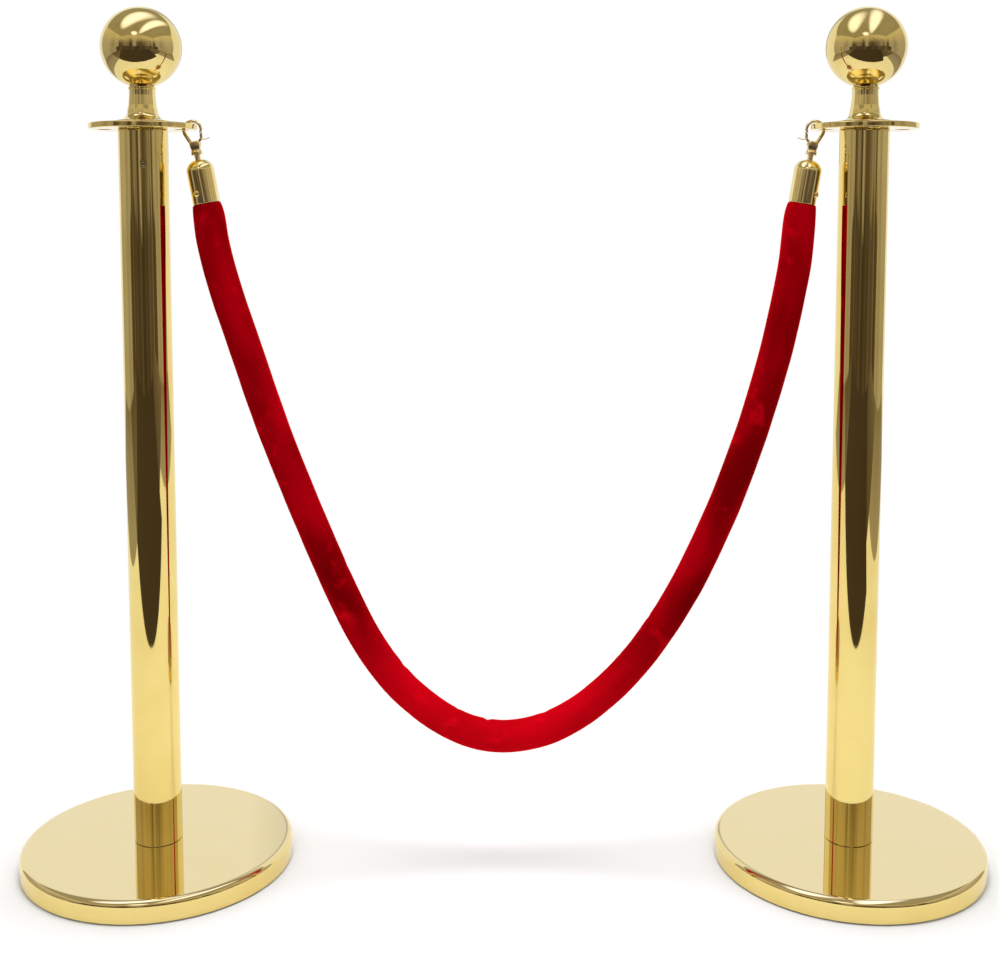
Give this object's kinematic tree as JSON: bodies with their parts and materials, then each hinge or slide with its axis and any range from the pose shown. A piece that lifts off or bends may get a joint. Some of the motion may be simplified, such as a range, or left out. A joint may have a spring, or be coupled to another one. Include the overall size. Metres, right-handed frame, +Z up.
{
  "type": "rope barrier stanchion",
  "caption": "Ball-topped post barrier: weighted round bases, tubes and rope plates, joined by a velvet rope on sprung swivel hooks.",
  "frame": {"origin": "on the floor, midway between the two posts' axes", "axes": "+X from the left post to the right post, +Z up, +Y away from the front"},
  "size_m": [1.04, 0.288, 0.914],
  "materials": {
    "gold_base": "polished gold plate",
    "gold_post": "polished gold plate",
    "gold_plate": "polished gold plate",
    "gold_finial": "polished gold plate",
    "gold_cap": "polished gold plate",
    "gold_hook": "bright cast and plated",
    "red_velvet": "velvet pile",
    "cord_core": "bound cotton core",
    "rubber_pad": "matt moulded rubber",
    "cast_weight": "rough cast",
    "zinc_hardware": "zinc plated",
    "steel_plug": "turned",
    "steel_screw": "plain",
    "spring_steel": "drawn wire"
  },
  "bodies": {
    "root": {"left_floor_pad": "rubber_pad", "left_base_weight": "cast_weight", "left_base_cover": "gold_base", "left_base_washer": "zinc_hardware", "left_base_bolt": "zinc_hardware", "left_lower_plug": "steel_plug", "left_post_tube": "gold_post", "left_upper_plug": "steel_plug", "left_set_screw": "steel_screw", "left_rope_plate": "gold_plate", "left_finial_stud": "zinc_hardware", "left_finial_neck": "gold_finial", "left_finial_ball": "gold_finial", "left_ball_insert": "steel_plug", "right_floor_pad": "rubber_pad", "right_base_weight": "cast_weight", "right_base_cover": "gold_base", "right_base_washer": "zinc_hardware", "right_base_bolt": "zinc_hardware", "right_lower_plug": "steel_plug", "right_post_tube": "gold_post", "right_upper_plug": "steel_plug", "right_set_screw": "steel_screw", "right_rope_plate": "gold_plate", "right_finial_stud": "zinc_hardware", "right_finial_neck": "gold_finial", "right_finial_ball": "gold_finial", "right_ball_insert": "steel_plug"},
    "rope": {"rope": "red_velvet", "left_end_cap": "gold_cap", "left_cap_screw": "gold_cap", "left_rope_end": "cord_core", "right_end_cap": "gold_cap", "right_cap_screw": "gold_cap", "right_rope_end": "cord_core"},
    "left_hook": {"left_hook": "gold_hook", "left_gate_pin": "gold_hook", "left_gate_spring": "spring_steel", "left_swivel_stem": "gold_hook"},
    "left_gate": {"left_gate": "gold_hook"},
    "right_hook": {"right_hook": "gold_hook", "right_gate_pin": "gold_hook", "right_gate_spring": "spring_steel", "right_swivel_stem": "gold_hook"},
    "right_gate": {"right_gate": "gold_hook"}
  },
  "joints": [
    {"name": "rope_swing", "type": "hinge", "parent": "root", "child": "rope", "pos_m": [0, 0, 0.79688], "axis": [1, 0, 0], "range_deg": [-20, 20]},
    {"name": "left_swivel", "type": "hinge", "parent": "rope", "child": "left_hook", "pos_m": [-0.3245, 0, 0.78788], "axis": [-0.1736, 0, 0.9848], "range_deg": [-8, 8]},
    {"name": "left_gate_hinge", "type": "hinge", "parent": "left_hook", "child": "left_gate", "pos_m": [-0.31916, 0, 0.7743], "axis": [0, -1, 0], "range_deg": [0, 35], "stiffness_Nm_per_rad": 0.02, "springref_deg": -20.05},
    {"name": "right_swivel", "type": "hinge", "parent": "rope", "child": "right_hook", "pos_m": [0.3245, 0, 0.78788], "axis": [0.1564, 0, 0.9877], "range_deg": [-8, 8]},
    {"name": "right_gate_hinge", "type": "hinge", "parent": "right_hook", "child": "right_gate", "pos_m": [0.3194, 0, 0.77421], "axis": [0, 1, 0], "range_deg": [0, 35], "stiffness_Nm_per_rad": 0.02, "springref_deg": -20.05}
  ]
}
